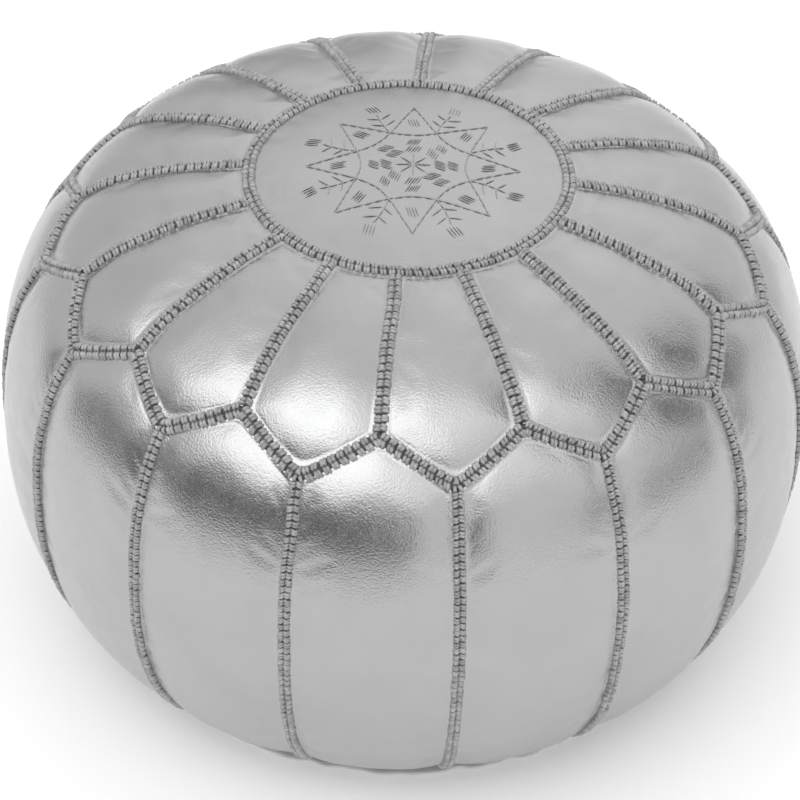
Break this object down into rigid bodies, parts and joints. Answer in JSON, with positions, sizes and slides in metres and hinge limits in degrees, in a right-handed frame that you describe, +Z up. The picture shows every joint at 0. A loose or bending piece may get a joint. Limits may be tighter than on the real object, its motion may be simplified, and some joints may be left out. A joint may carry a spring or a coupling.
{
  "type": "round leather pouf",
  "caption": "Round stuffed leather pouf: a stitched medallion, petals and side panels joined by braided seams, on a flat base closed by a zip.",
  "frame": {"origin": "on the floor under the middle of the pouf", "axes": "+Z up out of the medallion; the zip runs along X and closes towards +X; a petal seam faces -Y"},
  "size_m": [0.5588, 0.5588, 0.3485],
  "materials": {
    "silver_leather": "gloss",
    "base_leather": "satin",
    "seam_thread": "matte",
    "cotton_bag": "matte",
    "fibre_fill": "matte",
    "zip_tape": "matte",
    "zip_metal": "polished"
  },
  "bodies": {
    "cover": {"top_medallion": "silver_leather", "top_petal_01": "silver_leather", "top_petal_02": "silver_leather", "top_petal_03": "silver_leather", "top_petal_04": "silver_leather", "top_petal_05": "silver_leather", "top_petal_06": "silver_leather", "top_petal_07": "silver_leather", "top_petal_08": "silver_leather", "top_petal_09": "silver_leather", "top_petal_10": "silver_leather", "top_petal_11": "silver_leather", "top_petal_12": "silver_leather", "top_petal_13": "silver_leather", "top_petal_14": "silver_leather", "top_petal_15": "silver_leather", "top_petal_16": "silver_leather", "side_panel_01": "silver_leather", "side_panel_02": "silver_leather", "side_panel_03": "silver_leather", "side_panel_04": "silver_leather", "side_panel_05": "silver_leather", "side_panel_06": "silver_leather", "side_panel_07": "silver_leather", "side_panel_08": "silver_leather", "side_panel_09": "silver_leather", "side_panel_10": "silver_leather", "side_panel_11": "silver_leather", "side_panel_12": "silver_leather", "side_panel_13": "silver_leather", "side_panel_14": "silver_leather", "side_panel_15": "silver_leather", "side_panel_16": "silver_leather", "base_half_front": "base_leather", "base_half_back": "base_leather", "base_welt": "silver_leather", "ring_and_petal_seam_braid": "seam_thread", "zigzag_and_side_seam_braid": "seam_thread", "inner_bag": "cotton_bag", "stuffing": "fibre_fill", "zip_tape_front": "zip_tape", "zip_tape_back": "zip_tape", "zip_teeth_front": "zip_metal", "zip_teeth_back": "zip_metal", "zip_top_stop_front": "zip_metal", "zip_top_stop_back": "zip_metal", "zip_bottom_stop": "zip_metal"},
    "slider": {"zip_slider": "zip_metal"},
    "pull": {"zip_pull": "zip_metal"}
  },
  "joints": [
    {"name": "zip_slide", "type": "slide", "parent": "cover", "child": "slider", "axis": [-1, 0, 0], "range_m": [0, 0.2015]},
    {"name": "pull_hinge", "type": "hinge", "parent": "slider", "child": "pull", "pos_m": [0.101, 0, 0.00455], "axis": [0, -1, 0], "range_deg": [0, 165]}
  ]
}
